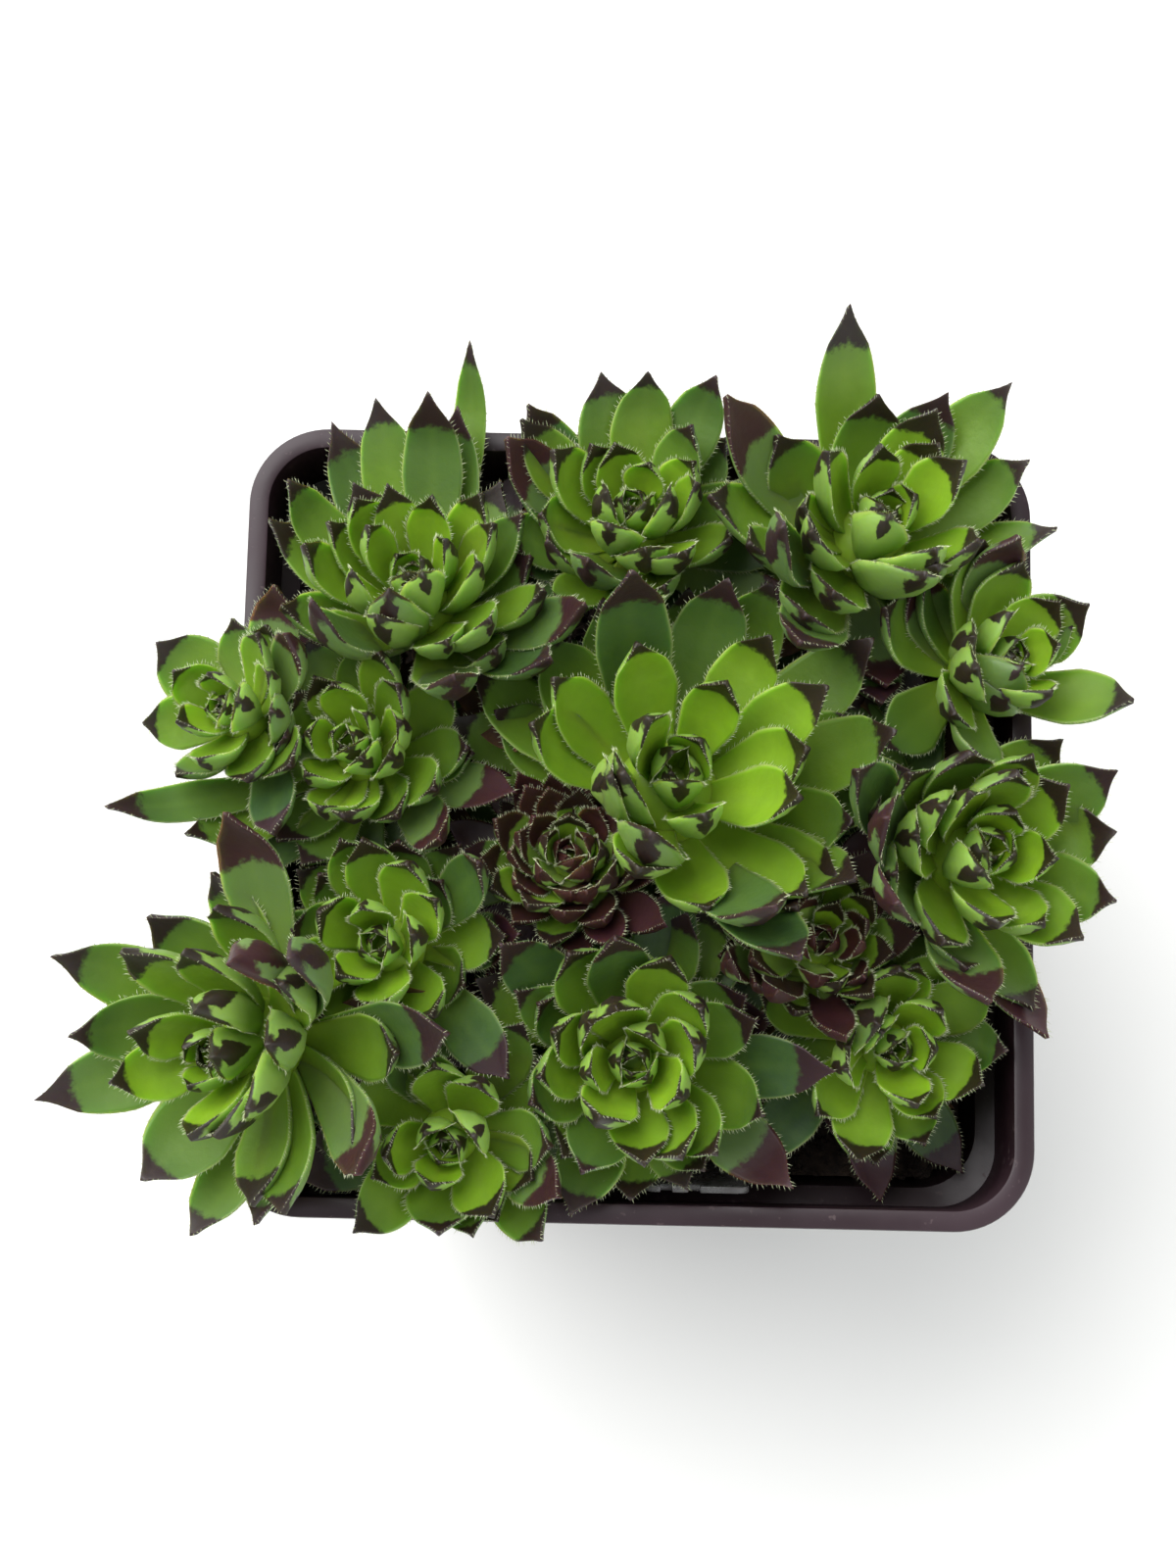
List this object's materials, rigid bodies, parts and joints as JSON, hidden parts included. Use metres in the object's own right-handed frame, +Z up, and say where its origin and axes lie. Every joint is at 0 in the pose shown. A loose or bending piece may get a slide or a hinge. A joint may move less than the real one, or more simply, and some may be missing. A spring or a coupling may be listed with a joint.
{
  "type": "potted houseleek",
  "caption": "Square nursery pot of soil, filled with low houseleek rosettes of fleshy pointed leaves that lean over its rim.",
  "frame": {"origin": "centre of the pot's underside, on the surface that it stands on", "axes": "+Z up out of the pot, +X to the right and +Y away from the front, both square to the pot's sides"},
  "size_m": [0.1191, 0.1047, 0.1068],
  "materials": {
    "pot_plastic": "satin dark purple-brown",
    "soil_peat": "matt dark peat",
    "label_plastic": "clear",
    "leaf_green": "satin, dark purple tips"
  },
  "bodies": {
    "root": {"pot": "pot_plastic", "soil": "soil_peat", "plant_label": "label_plastic", "head_back_left": "leaf_green", "head_back_middle": "leaf_green", "head_back_right": "leaf_green", "head_left": "leaf_green", "head_left_outer": "leaf_green", "head_centre": "leaf_green", "head_right_outer": "leaf_green", "head_right": "leaf_green", "head_small_centre": "leaf_green", "head_front_left": "leaf_green", "head_front_left_outer": "leaf_green", "head_front": "leaf_green", "head_front_outer": "leaf_green", "head_small_right": "leaf_green", "head_front_right": "leaf_green"}
  },
  "joints": []
}
